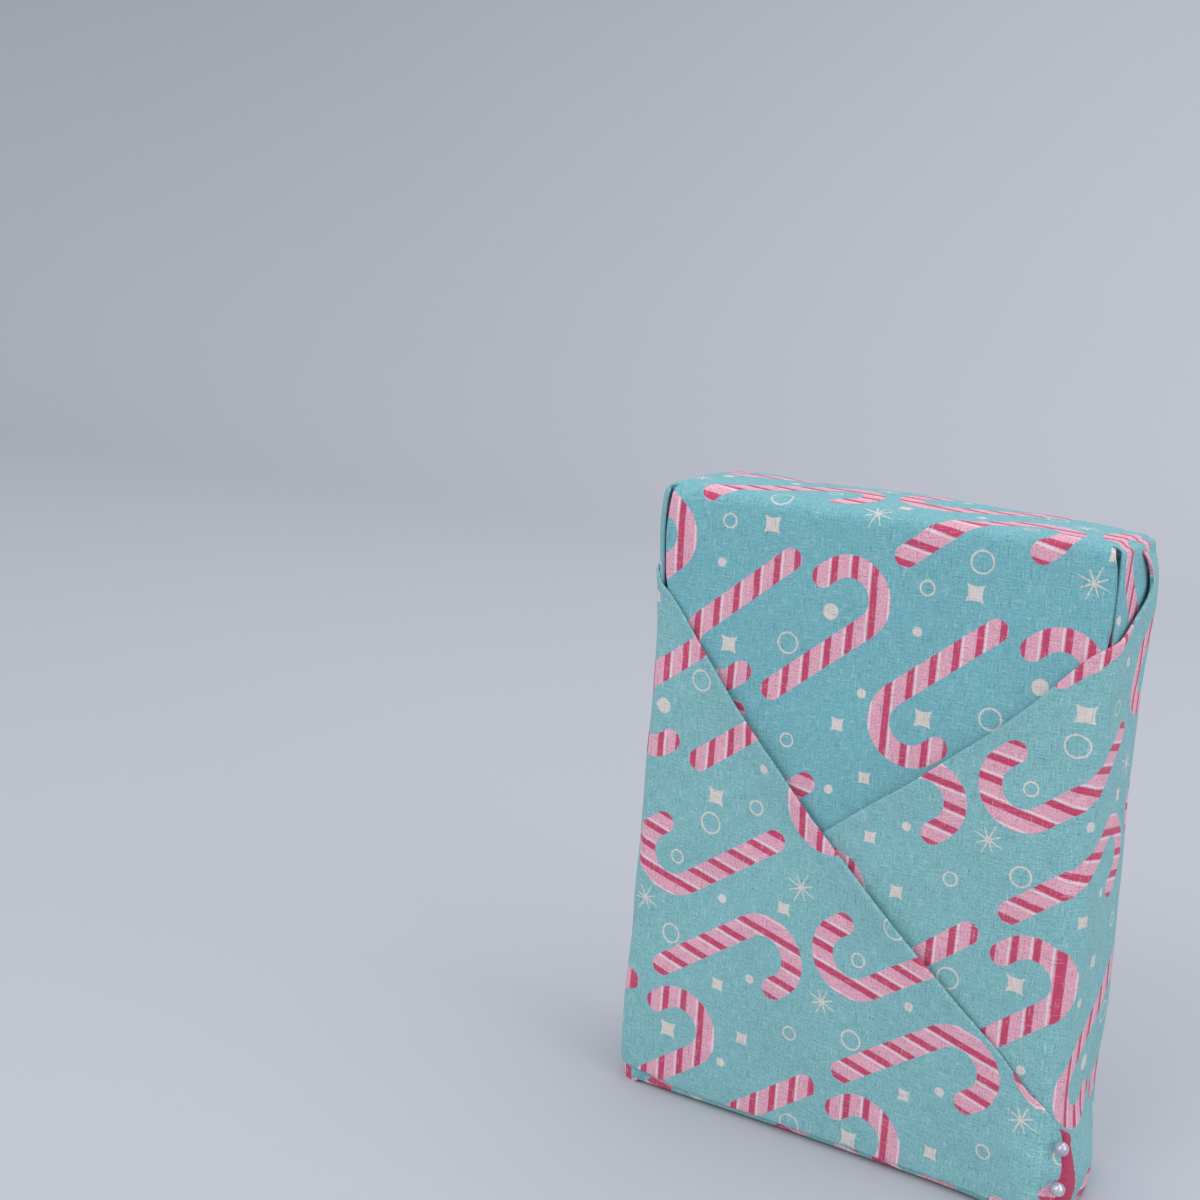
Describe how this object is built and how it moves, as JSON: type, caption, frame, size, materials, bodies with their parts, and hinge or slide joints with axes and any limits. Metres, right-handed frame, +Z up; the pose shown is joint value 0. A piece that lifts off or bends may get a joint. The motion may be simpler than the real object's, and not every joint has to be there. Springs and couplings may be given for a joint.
{
  "type": "furoshiki wrap",
  "caption": "Square cotton cloth folded round a flat upright box shape, its side flaps crossing in front and the hemmed tip pinned low at the right.",
  "frame": {"origin": "middle of the box form's flat lower end, on the surface that the parcel stands on", "axes": "+Z up along the parcel's height, +X to the right as seen from the front, +Y from the front flaps towards the plain back"},
  "size_m": [0.151, 0.054, 0.1979],
  "materials": {
    "printed_cotton": "matt plain-weave cotton, teal ground printed with pink striped canes, rings, dots and bursts",
    "pearl": "pearl-coated round head on a thin bright steel shaft",
    "hem_thread": "crimson overlock thread, closely stitched"
  },
  "bodies": {
    "root": {"furoshiki_wrap": "printed_cotton", "pin_upper": "pearl", "pin_lower": "pearl"}
  },
  "joints": []
}
